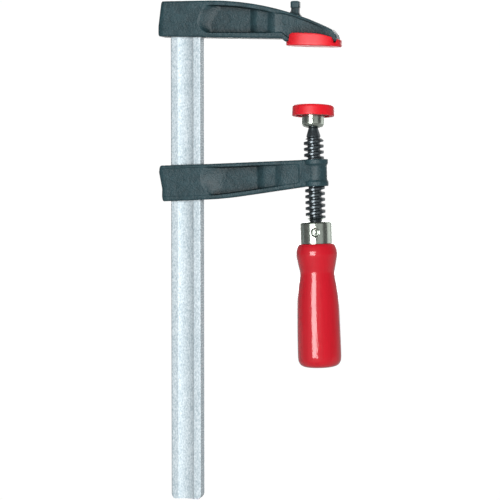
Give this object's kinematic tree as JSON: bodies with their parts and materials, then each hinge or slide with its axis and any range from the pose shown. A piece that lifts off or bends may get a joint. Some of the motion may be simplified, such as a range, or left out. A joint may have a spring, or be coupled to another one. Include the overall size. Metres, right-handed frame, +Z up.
{
  "type": "f clamp",
  "caption": "F-style bar clamp: grooved steel rail, cast fixed and sliding arms, screw with swivel pad, soft jaw caps and a turned wooden handle.",
  "frame": {"origin": "the point where the screw's axis meets the clamping face of the fixed jaw's cap", "axes": "+Z runs up the rail towards the fixed arm, +X points away from the rail along the arms, and the front of the clamp faces -Y"},
  "size_m": [0.1322, 0.0314, 0.3585],
  "materials": {
    "rail_galvanised": "galvanised, fine grain",
    "casting_powder_coat": "blue-grey powder coat on cast iron",
    "cap_red_plastic": "moulded, satin gloss",
    "spindle_black_oxide": "black oxide, oiled",
    "bright_nickel": "turned and nickel plated",
    "spring_steel": "oiled spring steel",
    "handle_red_varnish": "turned beech under red varnish"
  },
  "bodies": {
    "root": {"rail": "rail_galvanised", "fixed_arm": "casting_powder_coat", "jaw_cap": "cap_red_plastic"},
    "slider": {"sliding_arm": "casting_powder_coat"},
    "screw_feed": {"pad_ring": "spring_steel"},
    "screw": {"spindle": "spindle_black_oxide", "ferrule": "bright_nickel", "ferrule_pin": "bright_nickel", "handle": "handle_red_varnish"},
    "pad": {"pad_cup": "bright_nickel", "pad_cap": "cap_red_plastic"}
  },
  "joints": [
    {"name": "arm_slide", "type": "slide", "parent": "root", "child": "slider", "axis": [0, 0, 1], "range_m": [-0.21, 0.0152]},
    {"name": "spindle_feed", "type": "slide", "parent": "slider", "child": "screw_feed", "axis": [-0.0305, 0, 0.9995], "range_m": [-0.0216, 0.02395]},
    {"name": "spindle_turn", "type": "hinge", "parent": "screw_feed", "child": "screw", "pos_m": [0, 0, 0], "axis": [-0.0305, 0, 0.9995], "range_deg": [-1850, 2050]},
    {"name": "pad_tilt", "type": "hinge", "parent": "screw_feed", "child": "pad", "pos_m": [0.00161, 0, -0.05257], "axis": [1, 0, 0], "range_deg": [0, 9]}
  ],
  "couplings": [
    {"joint": "spindle_feed", "follows": "spindle_turn", "m_per_rad": 0.00066845}
  ]
}
